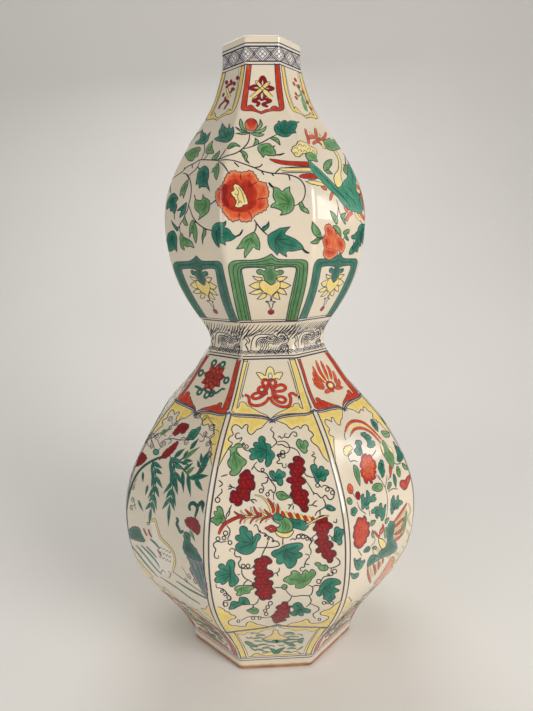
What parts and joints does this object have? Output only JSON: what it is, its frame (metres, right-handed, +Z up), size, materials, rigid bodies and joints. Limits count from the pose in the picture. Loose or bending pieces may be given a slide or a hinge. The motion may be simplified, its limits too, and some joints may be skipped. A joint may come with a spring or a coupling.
{
  "type": "double gourd vase",
  "caption": "Octagonal double gourd vase in painted and glazed porcelain, with a narrow waist, a short upright rim and a foot ring.",
  "frame": {"origin": "middle of the surface that the foot ring stands on", "axes": "+Z up along the vase's axis, -Y square out of the facet that the picture shows from the front, +X to that facet's right"},
  "size_m": [0.232, 0.232, 0.48],
  "materials": {
    "glazed_porcelain": "glossy",
    "bare_foot": "matte",
    "luting_clay": "glossy"
  },
  "bodies": {
    "root": {"foot_ring": "bare_foot", "base_slab": "glazed_porcelain", "lower_bulb_bottom": "glazed_porcelain", "lower_bulb_shoulder": "glazed_porcelain", "waist_collar": "glazed_porcelain", "upper_bulb_bottom": "glazed_porcelain", "upper_bulb_shoulder": "glazed_porcelain", "mouth_rim": "glazed_porcelain", "floor_luting_fillet": "luting_clay", "lower_bulb_luting_fillet": "luting_clay", "lower_waist_luting_fillet": "luting_clay", "upper_waist_luting_fillet": "luting_clay", "upper_bulb_luting_fillet": "luting_clay", "neck_luting_fillet": "luting_clay"}
  },
  "joints": []
}
